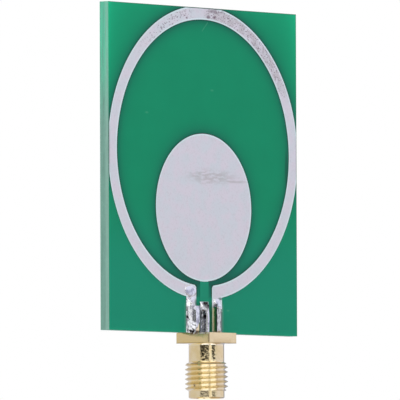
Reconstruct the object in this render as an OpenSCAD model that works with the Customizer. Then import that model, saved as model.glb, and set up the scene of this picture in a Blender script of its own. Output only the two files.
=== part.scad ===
// Planar wide-band antenna: a printed disc inside an open ring on a glass-epoxy board,
// fed by an edge-launch coax jack that is soldered to the board's lower edge.
// Origin at the middle of the jack's open end, Z up the jack's axis, printed side towards -Y.

/* [Board] */
// Thickness of the laminate
board_t = 1.6; // [0.8:0.1:1.8]
// Bare laminate left between the copper and the board's edges
edge_margin = 0.12; // [0.05:0.01:0.4]
// Depth of ring that is lost at each side edge, where the board is narrower than the ring
side_trim = 0.32; // [0.05:0.01:0.8]
// Depth of ring that is lost at the top edge
top_trim = 0.37; // [0.05:0.01:0.8]

/* [Printed conductors] */
// Thickness of the tinned copper
copper_t = 0.05; // [0.035:0.005:0.1]
// Outer radius of the ring, which the board is cut to fit
ring_outer_r = 21.7; // [18:0.1:30]
// Width of the ring's band
ring_band = 2; // [1:0.1:3]
// Height of the ring's lowest point above the tips of the jack's legs
ring_rise = 1; // [0.6:0.05:4]
// Radius of the disc
disc_r = 10.9; // [7:0.1:13]
// Gap between the disc's lowest point and the ring's inner circle
disc_gap = 0.7; // [0.3:0.05:2]
// Width of the feed strip
feed_w = 1.9; // [1.2:0.1:2.6]
// Ground copper that shows beside a leg of the jack, towards the feed
ground_inner_lap = 0.21; // [0.05:0.01:0.4]
// Ground copper that shows beside a leg of the jack, away from the feed
ground_outer_lap = 1.02; // [0.3:0.01:2]
// Rounding of the ring's two ends beside the feed
ring_end_r = 0.55; // [0.1:0.05:0.8]
// Length of the bare pad beyond the tip of the pin
pin_pad_lap = 0.45; // [0.3:0.05:1.2]
// Length of a rear pad beyond the tip of its leg
rear_pad_lap = 1.25; // [0.5:0.05:3]

/* [Solder mask] */
// Thickness of the green coat
mask_t = 0.03; // [0.02:0.005:0.04]
// Gap between bare copper and the edge of its window in the coat
mask_gap = 0.05; // [0.02:0.01:0.15]

/* [Jack] */
// Width of the square flange
flange_w = 6.3; // [6.2:0.05:9]
// Thickness of the flange
flange_t = 1.55; // [1:0.05:2.5]
// Width of a leg
leg_w = 1.02; // [0.6:0.02:1.3]
// Thickness of a leg
leg_t = 0.76; // [0.4:0.02:0.9]
// Length of a leg above the flange
leg_l = 3.95; // [2.5:0.05:4.5]
// Set-back of a leg from the flange's side
leg_inset = 0.1; // [0:0.005:0.4]
// Diameter of the plain neck under the flange
neck_d = 5.35; // [5:0.05:6]
// Length of the neck
neck_l = 2.85; // [1:0.05:6]
// Outside diameter of the coupling thread
thread_d = 6.35; // [6.1:0.05:7]
// Length of the threaded stretch
thread_l = 4.15; // [3:0.05:8]
// Bevel at both ends of the thread
thread_bevel = 0.35; // [0.1:0.05:0.5]
// Diameter of the nose below the thread
nose_d = 5.3; // [5:0.05:5.6]
// Length of the nose
nose_l = 1.1; // [0.5:0.05:2]
// Bevel on the nose's rim
nose_bevel = 0.12; // [0.05:0.01:0.15]
// Diameter of the open socket
socket_d = 4.6; // [4.3:0.02:4.64]
// Depth of the open socket
socket_depth = 1.93; // [1:0.01:3]

/* [Contact] */
// Diameter of the insulator
insulator_d = 4.1; // [3:0.05:4.2]
// Gap between the insulator and the shell, and between the contact and the insulator
seat_gap = 0.02; // [0.01:0.005:0.04]
// Diameter of the contact's body
contact_d = 1.27; // [1.2:0.01:1.6]
// Diameter of the contact's hole
hole_d = 0.94; // [0.6:0.02:1]
// Depth of the contact's hole
hole_depth = 2.9; // [1.5:0.05:4]
// Width of the slits that part the contact's tines
slit_w = 0.12; // [0.06:0.01:0.16]
// Depth of those slits
slit_depth = 1.9; // [0.8:0.05:2.5]
// Diameter of the pin that lies on the feed
pin_d = 0.76; // [0.6:0.02:1.1]
// Length of the pin above the flange
pin_l = 4.2; // [2.5:0.05:4.6]
// Gap between the pin and the feed pad
pin_gap = 0.01; // [0:0.005:0.03]
// Bevel on the pin's tip
pin_bevel = 0.12; // [0.02:0.01:0.2]

/* [Solder] */
// Thickness of solder over a leg or the pin
solder_coat = 0.07; // [0.02:0.01:0.12]
// Bare rim of a pad around its solder
solder_margin = 0.04; // [0.01:0.01:0.1]
// How far the left front joint climbs past its leg
left_climb = 1.3; // [0.4:0.05:1.6]
// How far the right front joint climbs past its leg
right_climb = 1.25; // [0.4:0.05:1.6]
// How far the right front joint laps down its leg
right_lap = 0.5; // [0.2:0.05:2]
// How far a rear joint climbs past its leg
rear_climb = 0.9; // [0.3:0.05:1.2]
// How far the centre joint climbs past the pin
pin_climb = 0.4; // [0.2:0.05:0.6]

/* [Hidden] */
$fn = 96;
cut = 1;
curve_steps = 10;
barrel_l = nose_l + thread_l + neck_l;
board_z = barrel_l + flange_t;
pad_y = pin_d / 2 + pin_gap;
front_y = pad_y + copper_t;
back_y = front_y + board_t;
rear_pad_y = back_y + copper_t;
ring_inner_r = ring_outer_r - ring_band;
ring_middle_h = leg_l + ring_rise + ring_outer_r;
board_w = 2 * (ring_outer_r - side_trim + edge_margin);
board_h = ring_middle_h + ring_outer_r - top_trim + edge_margin;
disc_middle_h = ring_middle_h - ring_inner_r + disc_gap + disc_r;
leg_mid = flange_w / 2 - leg_inset - leg_w / 2;
ground_inner = leg_mid - leg_w / 2 - ground_inner_lap;
ground_outer = leg_mid + leg_w / 2 + ground_outer_lap;
pin_pad_h = pin_l + pin_pad_lap;
rear_pad_h = leg_l + rear_pad_lap;

// Layers on the board: an outline in X and height above the lower edge becomes a sheet.
module front_layer(thickness) {
    translate([0, front_y, board_z])
        rotate([90, 0, 0])
            linear_extrude(thickness)
                children();
}

module rear_layer(thickness) {
    translate([0, back_y + thickness, board_z])
        rotate([90, 0, 0])
            linear_extrude(thickness)
                children();
}

module board_outline(margin) {
    translate([-board_w / 2 + margin, margin])
        square([board_w - 2 * margin, board_h - 2 * margin]);
}

// Rounds the corner between a ground leg's inner side and the ring's inner circle.
// The rounding's middle lies ring_end_r from both; grow widens the copper all round.
module ring_end_cutter(grow) {
    reach = ring_inner_r + ring_end_r;
    middle = [ground_inner + ring_end_r, ring_middle_h - sqrt(pow(reach, 2) - pow(ground_inner + ring_end_r, 2))];
    share = (ring_inner_r - grow) / reach;
    touch = [middle[0] * share, ring_middle_h + (middle[1] - ring_middle_h) * share];
    difference() {
        polygon([
            [0, middle[1]],
            middle,
            touch,
            [touch[0], touch[1] + ring_end_r],
            [0, touch[1] + ring_end_r]
        ]);
        translate(middle)
            circle(ring_end_r + grow);
    }
}

// The open ring with its two ground legs.
module ring_outline(grow) {
    intersection() {
        board_outline(edge_margin - grow);
        difference() {
            union() {
                translate([0, ring_middle_h])
                    circle(ring_outer_r + grow);
                translate([-ground_outer - grow, 0])
                    square([2 * (ground_outer + grow), ring_middle_h - ring_inner_r]);
            }
            translate([0, ring_middle_h])
                circle(ring_inner_r - grow);
            translate([-ground_inner + grow, -cut])
                square([2 * (ground_inner - grow), ring_middle_h]);
            ring_end_cutter(grow);
            mirror([1, 0])
                ring_end_cutter(grow);
        }
    }
}

module disc_outline(grow) {
    translate([0, disc_middle_h])
        circle(disc_r + grow);
}

module feed_outline(grow) {
    translate([-feed_w / 2 - grow, edge_margin])
        square([feed_w + 2 * grow, disc_middle_h - edge_margin]);
}

module pin_pad_window() {
    translate([-feed_w / 2 - mask_gap, -cut])
        square([feed_w + 2 * mask_gap, cut + pin_pad_h]);
}

module rear_pad_outline(grow) {
    translate([ground_inner - grow, edge_margin - grow])
        square([ground_outer - ground_inner + 2 * grow, rear_pad_h - edge_margin + 2 * grow]);
}

module fr4_board() {
    color("#6fae97")
        translate([-board_w / 2, front_y, board_z])
            cube([board_w, board_t, board_h]);
}

module ring_conductor() {
    color("#cbc8d2")
        front_layer(copper_t)
            ring_outline(0);
}

module disc_conductor() {
    color("#c9c5d0")
        front_layer(copper_t) {
            disc_outline(0);
            feed_outline(0);
        }
}

// The coat lies on the laminate, climbs over the feed strip and is open over bare copper.
module front_solder_mask() {
    color("#25886c")
        difference() {
            union() {
                front_layer(mask_t)
                    board_outline(0);
                front_layer(copper_t + mask_t)
                    feed_outline(mask_t);
            }
            front_layer(copper_t)
                feed_outline(0);
            front_layer(copper_t + cut) {
                ring_outline(mask_gap);
                disc_outline(mask_gap);
                pin_pad_window();
            }
        }
}

module rear_solder_mask() {
    color("#25886c")
        rear_layer(mask_t)
            difference() {
                board_outline(0);
                rear_pad_outline(mask_gap);
                mirror([1, 0])
                    rear_pad_outline(mask_gap);
            }
}

module rear_pad() {
    color("#cbc8d2")
        rear_layer(copper_t)
            rear_pad_outline(0);
}

module rear_pad_left() {
    mirror([1, 0, 0])
        rear_pad();
}

module rear_pad_right() {
    rear_pad();
}

// Half section of the barrel from the nose's rim up to the flange.
module barrel_section() {
    thread_top = nose_l + thread_l;
    polygon([
        [0, 0],
        [nose_d / 2 - nose_bevel, 0],
        [nose_d / 2, nose_bevel],
        [nose_d / 2, nose_l],
        [thread_d / 2 - thread_bevel, nose_l],
        [thread_d / 2, nose_l + thread_bevel],
        [thread_d / 2, thread_top - thread_bevel],
        [thread_d / 2 - thread_bevel, thread_top],
        [neck_d / 2, thread_top],
        [neck_d / 2, barrel_l],
        [0, barrel_l]
    ]);
}

module leg(side, inner_y) {
    translate([side * leg_mid - leg_w / 2, inner_y, board_z])
        cube([leg_w, leg_t, leg_l]);
}

// Four legs straddle the board: the slot between them is the board with its copper.
module connector_shell() {
    color("#d9b56b")
        difference() {
            union() {
                rotate_extrude()
                    barrel_section();
                translate([-flange_w / 2, -flange_w / 2, barrel_l])
                    cube([flange_w, flange_w, flange_t]);
                for (side = [-1, 1]) {
                    leg(side, pad_y - leg_t);
                    leg(side, rear_pad_y);
                }
            }
            translate([0, 0, -cut])
                cylinder(d = socket_d, h = cut + socket_depth);
            cylinder(d = insulator_d + 2 * seat_gap, h = board_z + cut);
        }
}

module insulator() {
    color("#f2f2ee")
        translate([0, 0, socket_depth])
            difference() {
                cylinder(d = insulator_d, h = board_z - socket_depth);
                translate([0, 0, -cut])
                    cylinder(d = contact_d + 2 * seat_gap, h = board_z + 2 * cut);
            }
}

// Slotted socket at the open end, plain body in the insulator, pin above the flange.
module centre_contact() {
    tip_z = board_z + pin_l;
    color("#dcb968")
        difference() {
            rotate_extrude()
                polygon([
                    [0, socket_depth],
                    [contact_d / 2, socket_depth],
                    [contact_d / 2, board_z],
                    [pin_d / 2, board_z],
                    [pin_d / 2, tip_z - pin_bevel],
                    [pin_d / 2 - pin_bevel, tip_z],
                    [0, tip_z]
                ]);
            translate([0, 0, socket_depth - cut])
                cylinder(d = hole_d, h = cut + hole_depth);
            for (turn = [0, 90])
                rotate(turn)
                    translate([-contact_d, -slit_w / 2, socket_depth - cut])
                        cube([2 * contact_d, slit_w, cut + slit_depth]);
        }
}

// Hollow curve of molten solder: flat where it wets the pad, upright where it wets the metal.
function meniscus(foot, top) = [
    for (i = [0:curve_steps])
        let (t = 90 * i / curve_steps)
            [foot[0] + (top[0] - foot[0]) * sin(t), foot[1] + (top[1] - foot[1]) * (1 - cos(t))]
];

function reversed(list) = [for (i = [len(list) - 1:-1:0]) list[i]];

// Solder on a pad as three views that are cut out of each other: across, from the side and from above.
// across is the section in width and height, side the outline in height and length.
module solder_body(across, side, low, high, length) {
    depth = max([for (p = across) p[1]]);
    corner = (high - low) / 4;
    intersection() {
        linear_extrude(length)
            polygon(across);
        translate([low, 0, 0])
            rotate([90, 0, 90])
                linear_extrude(high - low)
                    polygon(side);
        translate([0, depth, 0])
            rotate([90, 0, 0])
                linear_extrude(depth)
                    union() {
                        translate([low, 0])
                            square([high - low, length - corner]);
                        translate([low + corner, 0])
                            square([high - low - 2 * corner, length]);
                        for (x = [low + corner, high - corner])
                            translate([x, length - corner])
                                circle(corner);
                    }
    }
}

// Joint on a leg, in the leg's own frame: X away from the feed, Y up from the pad, Z along the leg.
module leg_solder(foot, climb) {
    low = -leg_w / 2 - ground_inner_lap + solder_margin;
    high = leg_w / 2 + ground_outer_lap - solder_margin;
    crest = leg_t + solder_coat;
    length = leg_l + climb;
    across = concat(
        meniscus([high, 0], [leg_w / 2 + solder_coat, crest]),
        reversed(meniscus([low, 0], [-leg_w / 2 - solder_coat, crest]))
    );
    start = foot > 0 ? meniscus([0, foot], [crest, foot + crest / 3]) : [[0, 0], [crest, 0]];
    side = concat(
        start,
        reversed([for (p = meniscus([length, 0], [leg_l + solder_coat, crest])) [p[1], p[0]]])
    );
    difference() {
        solder_body(across, side, low, high, length);
        translate([-leg_w / 2, -cut, -cut])
            cube([leg_w, cut + leg_t, cut + leg_l]);
    }
}

module on_front(side) {
    translate([side * leg_mid, pad_y, board_z])
        scale([side, -1, 1])
            children();
}

module on_rear(side) {
    translate([side * leg_mid, rear_pad_y, board_z])
        scale([side, 1, 1])
            children();
}

module solder_front_left() {
    color("#d5d8dc")
        on_front(-1)
            leg_solder(0, left_climb);
}

module solder_front_right() {
    color("#d5d8dc")
        on_front(1)
            leg_solder(leg_l - right_lap, right_climb);
}

module solder_rear_left() {
    color("#d5d8dc")
        on_rear(-1)
            leg_solder(0, rear_climb);
}

module solder_rear_right() {
    color("#d5d8dc")
        on_rear(1)
            leg_solder(0, rear_climb);
}

// Joint on the pin, in the pin's own frame: Y up from the pad, Z along the pin.
module solder_centre() {
    reach = feed_w / 2 - solder_margin;
    shoulder = pin_d / 2 + solder_coat;
    crest = pin_gap + pin_d + solder_coat;
    length = pin_l + pin_climb;
    flank = concat(meniscus([reach, 0], [shoulder, pin_d * 0.7]), [[shoulder * 0.6, crest]]);
    across = concat(flank, reversed([for (p = flank) [-p[0], p[1]]]));
    side = concat(
        [[0, 0], [crest, 0]],
        reversed([for (p = meniscus([length, 0], [pin_l + solder_coat, crest])) [p[1], p[0]]])
    );
    color("#d5d8dc")
        difference() {
            translate([0, pad_y, board_z])
                mirror([0, 1, 0])
                    solder_body(across, side, -reach, reach, length);
            centre_contact();
        }
}

fr4_board();
ring_conductor();
disc_conductor();
front_solder_mask();
rear_solder_mask();
rear_pad_left();
rear_pad_right();
connector_shell();
insulator();
centre_contact();
solder_front_left();
solder_front_right();
solder_centre();
solder_rear_left();
solder_rear_right();
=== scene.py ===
import math

import bmesh
import bpy
from bpy.props import FloatProperty, FloatVectorProperty, IntProperty, PointerProperty
from mathutils import Matrix, Vector, noise


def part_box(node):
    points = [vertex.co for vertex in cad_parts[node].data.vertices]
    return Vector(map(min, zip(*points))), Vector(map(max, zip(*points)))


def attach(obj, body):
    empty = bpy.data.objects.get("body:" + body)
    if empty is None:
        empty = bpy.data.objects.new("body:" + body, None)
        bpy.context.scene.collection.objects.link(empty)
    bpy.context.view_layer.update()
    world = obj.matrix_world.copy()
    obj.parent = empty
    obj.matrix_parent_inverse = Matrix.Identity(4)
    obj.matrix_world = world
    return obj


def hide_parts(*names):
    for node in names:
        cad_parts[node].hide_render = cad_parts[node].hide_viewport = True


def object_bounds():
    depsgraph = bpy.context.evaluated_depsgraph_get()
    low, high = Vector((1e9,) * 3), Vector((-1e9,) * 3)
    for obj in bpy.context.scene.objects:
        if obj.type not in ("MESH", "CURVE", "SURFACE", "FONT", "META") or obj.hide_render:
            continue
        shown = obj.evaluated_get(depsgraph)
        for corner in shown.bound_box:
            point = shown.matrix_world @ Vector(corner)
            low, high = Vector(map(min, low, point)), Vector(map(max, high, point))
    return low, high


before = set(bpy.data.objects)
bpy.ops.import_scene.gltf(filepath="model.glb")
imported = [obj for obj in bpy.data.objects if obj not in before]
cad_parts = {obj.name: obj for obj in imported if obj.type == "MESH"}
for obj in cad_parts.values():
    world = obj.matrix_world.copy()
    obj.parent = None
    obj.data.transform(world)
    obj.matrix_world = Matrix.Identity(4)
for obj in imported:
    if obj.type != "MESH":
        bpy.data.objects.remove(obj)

bl_info = {
    "name": "Disc and Ring Antenna",
    "version": (1, 0, 0),
    "blender": (4, 5, 0),
    "location": "View3D > Sidebar > Antenna",
    "description": "Finishes a printed wide-band antenna and its edge-launch coax jack",
    "category": "Add Mesh",
}

MM = 0.001
CAD_LOW, CAD_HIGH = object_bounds()
CAD_MIDDLE = (CAD_LOW + CAD_HIGH) / 2

# Planes that the pieces share, from the frame.
BOARD_LOW, BOARD_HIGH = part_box("fr4_board")
DISC_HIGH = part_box("disc_conductor")[1]
FRONT_PAD_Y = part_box("ring_conductor")[0].y
REAR_PAD_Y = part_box("rear_pad_left")[1].y
PIN_TIP_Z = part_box("centre_contact")[1].z
LEG_TIP_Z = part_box("connector_shell")[1].z
EDGE_Z = BOARD_LOW.z

# Points closer than this lie at the same place, and skins closer than this are joined.
SAME_PLACE = 0.004 * MM
JOIN = 0.001 * MM

# Edges that bend more than this stay hard.
HARD_EDGE = math.radians(40)

# Heights between which the look of the board changes, in millimetres: where a change starts and ends.
GLOW_HEIGHTS = (38.0, 60.0)
EDGE_HEIGHTS = (38.0, 52.0)
LOW_COAT_HEIGHTS = (30.0, 18.0)
WORN_RING_HEIGHTS = (44.0, 46.0)

# Marks, painted shade and painted reflections on the printed side, in millimetres: across, up, half width and
# half height.
# COAT_SHADOW is a painted shadow on the coat.
COAT_SHADOW = (19.1, 34.4, 0.5, 4.2)
COAT_MARKS = ((-12.9, 41.8, 0.5, 0.22), (2.0, 45.6, 0.5, 0.22), (5.5, 13.1, 0.5, 0.22))
DISC_SMEAR = (1.8, 32.8, 7.6, 1.5)
SMEAR_TAIL = (7.0, 32.25, 4.6, 0.3)
RING_MARKS = ((1.2, 56.4, 0.6, 0.36), (2.55, 56.4, 0.6, 0.36))
RING_STREAK = (2.9, 57.35, 2.6, 0.5)
# Darker patches on the tin near the tips of the front legs.
DARK_TIN_PATCHES = ((-1.85, 14.1, 0.45, 0.85), (3.72, 14.79, 0.85, 0.26))
WETTED_TIN = (2.15, 14.1, 0.4, 0.85)
PIN_CRUST = (0.3, 13.95, 1.05, 1.2)
# Painted dark reflections on the solder, as small dark spots.
SOLDER_DARK_REFLECTIONS = (
    (2.44, 13.8, 0.42, 0.36),
    (-3.95, 11.9, 0.3, 0.28),
    (-0.38, 12.1, 0.2, 0.34),
    (-3.5, 9.9, 0.75, 0.34),
)

# A scratch that runs up to the right, by its height at the middle of the board and its place across.
SCRATCH_RISE = 54.55
SCRATCH_X = 0.4

# A spot on the left of the thread: its depth and height.
THREAD_SPOT = (0.05, 1.9)

# The stage, in metres.
FLOOR_RADIUS = 3.0
FLOOR_GAP = 0.2 * MM
CARD_DISTANCE = 0.5
CARD_STEPS = 12


def srgb(red, green, blue):
    """The linear colour of an 8-bit display colour."""
    return tuple(
        v / 12.92 if v <= 0.04045 else ((v + 0.055) / 1.055) ** 2.4
        for v in (red / 255, green / 255, blue / 255)
    )


def length(name, description, millimetres):
    """A size that a user may change."""
    return FloatProperty(
        name=name, description=description, default=millimetres * MM, min=0.0, precision=5, unit="LENGTH"
    )


def colour(name, description, red, green, blue):
    """A colour that a user may change."""
    return FloatVectorProperty(
        name=name, description=description, default=srgb(red, green, blue),
        min=0.0, max=1.0, size=3, subtype="COLOR",
    )


def amount(name, description, default, subtype="NONE"):
    """A plain number that a user may change."""
    return FloatProperty(name=name, description=description, default=default, subtype=subtype)


class BoardSettings(bpy.types.PropertyGroup):
    """Looks of the laminate and its green coat."""

    coat: colour("Coat", "Green coat on open board", 16, 132, 96)
    coat_low: colour("Low coat", "Green coat near the jack, a little bluer", 23, 134, 106)
    # Painted shade: the coat beside bare copper, which keeps light out of the laminate.
    coat_shade_by_copper: colour("Coat beside copper", "Green coat where it runs up to bare copper", 22, 90, 76)
    # Coat edge: a thin dark edge of the coat along its windows, partly painted shade; the same colour paints
    # a shadow on the coat and the shade in the gaps beside the copper.
    coat_edge_and_shade: colour("Coat edge", "Thin edge of the coat along its windows", 26, 66, 58)
    coat_glow: colour("Glow", "Green coat lit through the laminate from a cut edge", 24, 174, 127)
    # Outline: a darker line along the top and right edges of the board.
    outline: colour("Outline", "Darker coat along the top and right edges of the board", 66, 112, 96)
    coat_strip: colour("Feed strip", "Green coat over the feed strip's copper", 28, 135, 107)
    pocket: colour("Pocket", "Green coat in the shade between the legs and the pin", 26, 84, 58)
    scratch: colour("Scratch", "Light scratch in the coat", 70, 150, 120)
    edge: colour("Cut edge", "Cut edge of the laminate", 114, 158, 145)
    # Painted glow: light through the laminate makes the cut edge greener towards the top.
    edge_top_glow: colour("Upper cut edge", "Cut edge of the laminate near the top of the board", 86, 186, 154)
    # Pale glass fibres in the cut edge; the same colour paints a highlight where the cut edge meets the
    # printed face.
    pale_fibre_and_edge_highlight: colour("Edge rim", "Pale strip where the cut edge meets the printed face", 158, 196, 184)
    shade_reach: length("Shade reach", "How far the darker coat beside copper reaches", 0.8)
    glow_reach: length("Glow reach", "How far the light from a cut edge reaches", 2.6)


class ConductorSettings(bpy.types.PropertyGroup):
    """Sizes and looks of the tinned copper."""

    ring_radius: length("Ring radius", "Outer radius of the ring", 21.7)
    ring_band: length("Ring band", "Width of the ring's band", 2.0)
    ring_middle: length("Ring middle", "Height of the ring's middle in the frame", 36.3)
    ground_inner: length("Ground leg, inner side", "Middle of the board to a ground leg's inner side", 1.82)
    ground_outer: length("Ground leg, outer side", "Middle of the board to a ground leg's outer side", 4.07)
    feed_width: length("Feed width", "Width of the feed strip", 1.9)
    tin_warm: colour("Warm tin", "Tin where it looks slightly pink", 223, 219, 223)
    tin_cool: colour("Cool tin", "Tin where it looks slightly blue", 217, 221, 223)
    # Painted highlight along the rims of the tin.
    tin_rim_highlight: colour("Tin rim", "Thin bright rim of the tin", 226, 255, 248)
    tin_dull: colour("Dull tin", "Handled tin", 198, 191, 191)
    tin_smear: colour("Smear", "Smear across the disc", 172, 168, 162)
    tin_wetted: colour("Wetted tin", "Bright solder on the tin beside the right leg", 255, 255, 255)
    tin_shade: colour("Shaded tin", "Tin in the shade beside the front legs", 90, 124, 116)
    tin_speck: colour("Specks", "Dark specks in the tin", 112, 88, 98)


class JackSettings(bpy.types.PropertyGroup):
    """Sizes and looks of the coax jack."""

    nose_radius: length("Nose radius", "Radius of the plain nose", 2.65)
    nose_length: length("Nose length", "Length of the plain nose", 1.1)
    nose_bevel: length("Nose bevel", "Bevel on the nose's rim", 0.15)
    socket_radius: length("Socket radius", "Radius of the open socket", 2.3)
    socket_depth: length("Socket depth", "Depth of the open socket", 1.93)
    bore_radius: length("Bore radius", "Radius of the bore that holds the insulator", 2.07)
    thread_radius: length("Thread radius", "Radius at the thread's crests", 3.175)
    thread_length: length("Thread length", "Length of the threaded stretch", 4.15)
    thread_bevel: length("Thread bevel", "Bevel at both ends of the thread", 0.35)
    thread_pitch: length("Thread pitch", "Rise of the thread in one turn", 0.7056)
    thread_depth: length("Thread depth", "Depth of the thread", 0.5)
    thread_crest: length("Thread crest", "Width of the flat at a crest", 0.07)
    thread_hollow: amount("Thread hollow", "Roundness of the groove; 1 is a straight vee", 1.25)
    thread_start: length("Thread start", "Height of a crest at the thread's start line", 0.47)
    neck_radius: length("Neck radius", "Radius of the plain neck", 2.62)
    neck_length: length("Neck length", "Length of the plain neck", 2.85)
    neck_fillet: length("Neck fillet", "Rounding between the neck and the flange", 0.22)
    foot_width: length("Neck foot, width", "Width of the rounding at the neck's foot", 0.12)
    foot_height: length("Neck foot, height", "Height of the rounding at the neck's foot", 0.24)
    flange_width: length("Flange width", "Width of the square flange", 6.3)
    flange_bevel: length("Flange bevel", "Rounding of the flange's long edges", 0.06)
    flange_corner: length("Flange corner", "Rounding of the flange's upright corners", 0.05)
    leg_width: length("Leg width", "Width of a leg", 1.02)
    leg_thickness: length("Leg thickness", "Thickness of a leg", 0.76)
    leg_inset: length("Leg inset", "Set-back of a leg from the flange's side", 0.1)
    pin_radius: length("Pin radius", "Radius of the pin on the feed", 0.38)
    leg_bevel: length("Leg bevel", "Rounding of a leg's edges", 0.05)
    steps: IntProperty(name="Steps", description="Steps of one full turn of the barrel", default=128, min=16)
    gold: colour("Gold", "Gold plate", 239, 221, 181)
    gold_deep: colour("Deep gold", "Gold plate where it is a little thicker", 233, 210, 160)
    # Painted light: paler gold that lightens the thread's grooves and the top of the neck.
    gold_pale_lit: colour("Pale lit gold", "Painted light: paler gold in the thread's grooves", 249, 239, 216)
    # Painted shade: darker olive gold on the thread's crests.
    gold_crest_shade: colour("Crest gold", "Olive gold on the thread's shaded crests", 224, 202, 150)
    gold_flange: colour("Flange gold", "Gold plate on the flange", 230, 208, 157)
    # Painted light: the flange's front face is paler than its other faces.
    gold_front_lit: colour("Flange front", "Painted light: paler gold on the flange's front", 241, 220, 174)
    tinned: colour("Tinned leg", "Solder that has run over the right front leg", 214, 214, 208)
    tinned_dull: colour("Dull tinned leg", "Dull specks in that solder", 132, 132, 128)
    tinned_edge: colour("Edge of the tinned leg", "Shade along its upright edges", 62, 74, 58)
    # Stain: brown flux beside the joints; the same colour paints the shade lines at the flange's lower edge
    # and the thread's top.
    flux_stain_and_shade: colour("Stain", "Brown flux left beside the joints", 96, 70, 48)
    insulator: colour("Insulator", "Waxy white insulator", 240, 239, 234)


class SolderSettings(bpy.types.PropertyGroup):
    """Sizes and looks of the hand-made joints."""

    cell: length("Cell", "Spacing of the points that shape a joint", 0.035)
    coat: length("Coat", "Solder over a leg or the pin", 0.07)
    lump: length("Lumps", "Height of the lumps in a joint", 0.11)
    crown: length("Crown", "Rounding of the solder over a covered leg", 0.15)
    bulge: length("Bulge", "Bulge across the foot of a joint on a leg", 0.1)
    inner_lap: length("Inner lap", "Solder on the side of a leg that faces the feed", 0.09)
    left_climb: length("Left climb", "How far the left front joint climbs past its leg", 1.3)
    right_climb: length("Right climb", "How far the right front joint climbs past its leg", 1.25)
    right_lap: length("Right lap", "How far the right front joint laps down its leg", 0.25)
    rear_climb: length("Rear climb", "How far a rear joint climbs past its leg", 0.9)
    pin_climb: length("Pin climb", "How far the centre joint climbs past the pin", 0.4)
    bright: colour("Bright solder", "Bright solder", 232, 233, 236)
    dull: colour("Dull solder", "Dull solder", 176, 176, 188)
    # Film: grey film on the pin's solder; the same colour paints a dark reflection on the left front joint.
    film: colour("Film", "Grey film on the pin's solder", 92, 96, 98)
    # Flux: dark flux crust on the pin's solder; the same colour paints small dark reflections in the solder.
    flux_and_dark_reflection: colour("Flux", "Dark flux and painted dark reflections in the solder", 34, 30, 30)


class StageSettings(bpy.types.PropertyGroup):
    """Camera and light."""

    azimuth: amount("Azimuth", "Direction of the camera round the part", math.radians(-49.84), "ANGLE")
    elevation: amount("Elevation", "Height of the camera above the horizon", math.radians(-2.584), "ANGLE")
    roll: amount("Roll", "Turn of the camera about its own axis", math.radians(-0.2), "ANGLE")
    distance: length("Distance", "Distance of the camera from the board", 1575.6)
    lens: amount("Lens", "Focal length of the camera in millimetres", 960.2)
    aim_right: amount("Aim right", "Camera's aim to the right of the board's middle, in metres", -0.515 * MM)
    aim_up: amount("Aim up", "Camera's aim above the board's middle, in metres", -4.38 * MM)
    fill: amount("Fill", "Even light from all round", 0.5)
    paper: colour("Floor", "Pale floor", 242, 242, 242)


class AntennaSettings(bpy.types.PropertyGroup):
    """All settings of the antenna."""

    board: PointerProperty(type=BoardSettings)
    conductors: PointerProperty(type=ConductorSettings)
    jack: PointerProperty(type=JackSettings)
    solder: PointerProperty(type=SolderSettings)
    stage: PointerProperty(type=StageSettings)


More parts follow.
